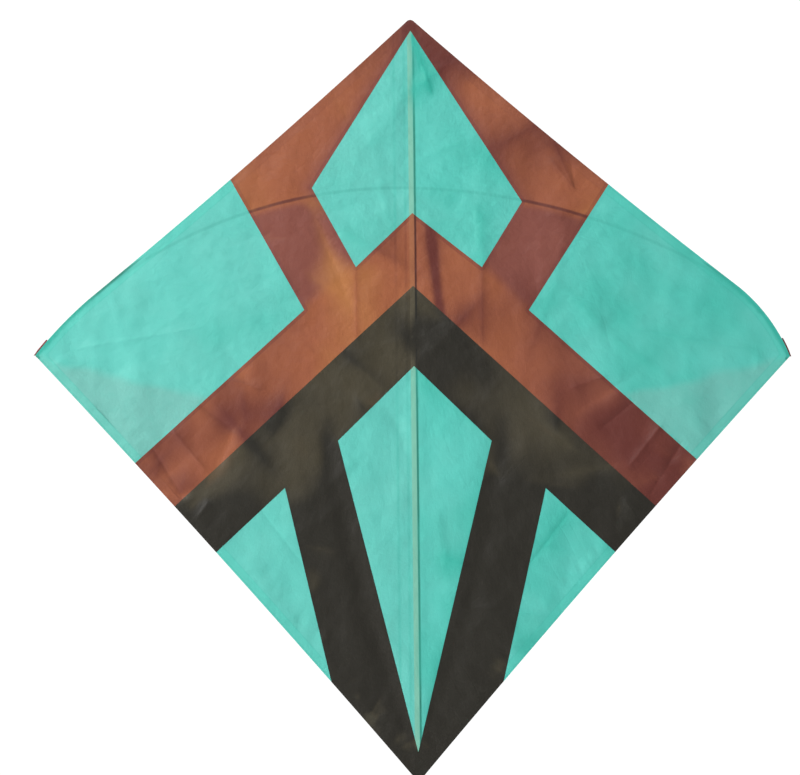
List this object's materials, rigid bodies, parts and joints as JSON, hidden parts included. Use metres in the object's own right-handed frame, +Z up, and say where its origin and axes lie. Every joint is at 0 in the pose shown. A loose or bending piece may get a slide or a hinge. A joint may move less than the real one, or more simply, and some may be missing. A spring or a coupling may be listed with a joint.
{
  "type": "diamond kite",
  "caption": "Diamond fighter kite: tissue sail pasted in three colours on a flat bamboo spine and a bent bamboo bow whose two wings flex back against its spring.",
  "frame": {"origin": "where the bow crosses the spine, on the spine's front face, to which the sail is glued; the upper bridle leg is tied here", "axes": "+Z up along the spine to the nose, +X to the right of someone who faces the kite, +Y to the back, so the face looks towards -Y"},
  "size_m": [0.6045, 0.0052, 0.608],
  "materials": {
    "bamboo": "split bamboo, raw and satin, with fine lengthwise fibres",
    "bow_bamboo": "shaved round bamboo, reddish brown",
    "lashing_thread": "wound cotton thread",
    "edge_thread": "fine cotton thread",
    "teal_tissue": "glossy translucent kite tissue, lightly crinkled",
    "brown_tissue": "glossy translucent kite tissue, lightly crinkled",
    "maroon_tissue": "thin dark red tissue, pasted",
    "black_tissue": "glossy kite tissue, lightly crinkled"
  },
  "bodies": {
    "centre": {"spine": "bamboo", "bow_centre": "bow_bamboo", "bow_lashing": "lashing_thread", "nose_patch": "teal_tissue", "tail_patch": "teal_tissue", "spine_patches": "teal_tissue", "upper_diamond_strip": "teal_tissue", "brown_strip": "brown_tissue", "black_strip": "black_tissue", "dart_strip": "teal_tissue"},
    "left_wing": {"bow_left": "bow_bamboo", "brown_frame_left": "brown_tissue", "black_frame_left": "black_tissue", "upper_diamond_left": "teal_tissue", "wing_panel_left": "teal_tissue", "dart_left": "teal_tissue", "lower_panel_left": "teal_tissue", "leading_thread_left": "edge_thread", "trailing_thread_left": "edge_thread", "tip_binding_left": "lashing_thread", "tip_patch_left": "maroon_tissue"},
    "right_wing": {"bow_right": "bow_bamboo", "brown_frame_right": "brown_tissue", "black_frame_right": "black_tissue", "upper_diamond_right": "teal_tissue", "wing_panel_right": "teal_tissue", "dart_right": "teal_tissue", "lower_panel_right": "teal_tissue", "leading_thread_right": "edge_thread", "trailing_thread_right": "edge_thread", "tip_binding_right": "lashing_thread", "tip_patch_right": "maroon_tissue"}
  },
  "joints": [
    {"name": "left_wing_flex", "type": "hinge", "parent": "centre", "child": "left_wing", "pos_m": [-0.00365, 0.0031, 0], "axis": [0, 0, -1], "range_deg": [0, 25], "stiffness_Nm_per_rad": 0.8, "deforming": ["nose_patch", "tail_patch", "spine_patches"]},
    {"name": "right_wing_flex", "type": "hinge", "parent": "centre", "child": "right_wing", "pos_m": [0.00365, 0.0031, 0], "axis": [0, 0, 1], "range_deg": [0, 25], "stiffness_Nm_per_rad": 0.8, "deforming": ["nose_patch", "tail_patch", "spine_patches"]}
  ]
}
